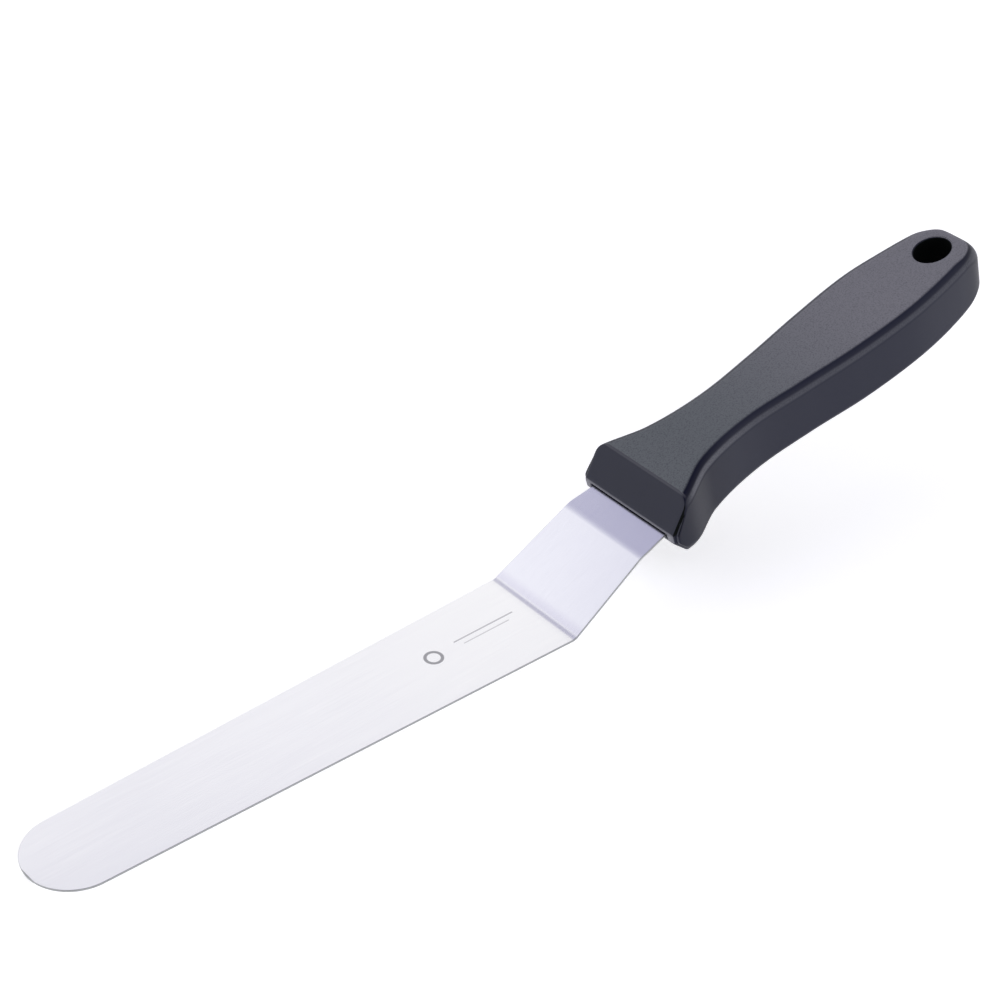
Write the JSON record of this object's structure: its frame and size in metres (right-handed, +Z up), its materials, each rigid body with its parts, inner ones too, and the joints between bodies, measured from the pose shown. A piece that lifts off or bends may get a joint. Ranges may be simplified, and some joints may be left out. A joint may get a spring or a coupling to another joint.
{
  "type": "offset spatula",
  "caption": "Offset icing spatula: long round-tipped steel blade, cranked up into a moulded plastic handle with a hanging hole.",
  "frame": {"origin": "on the surface that the flat blade rests on, under the middle of the bounding box", "axes": "+X along the tool from the tip towards the handle's butt, +Y across the blade, +Z up"},
  "size_m": [0.339, 0.0398, 0.0605],
  "materials": {
    "steel": "bright satin",
    "plastic": "fine grain on top, satin at the sides"
  },
  "bodies": {
    "root": {"blade": "steel", "handle": "plastic"}
  },
  "joints": []
}
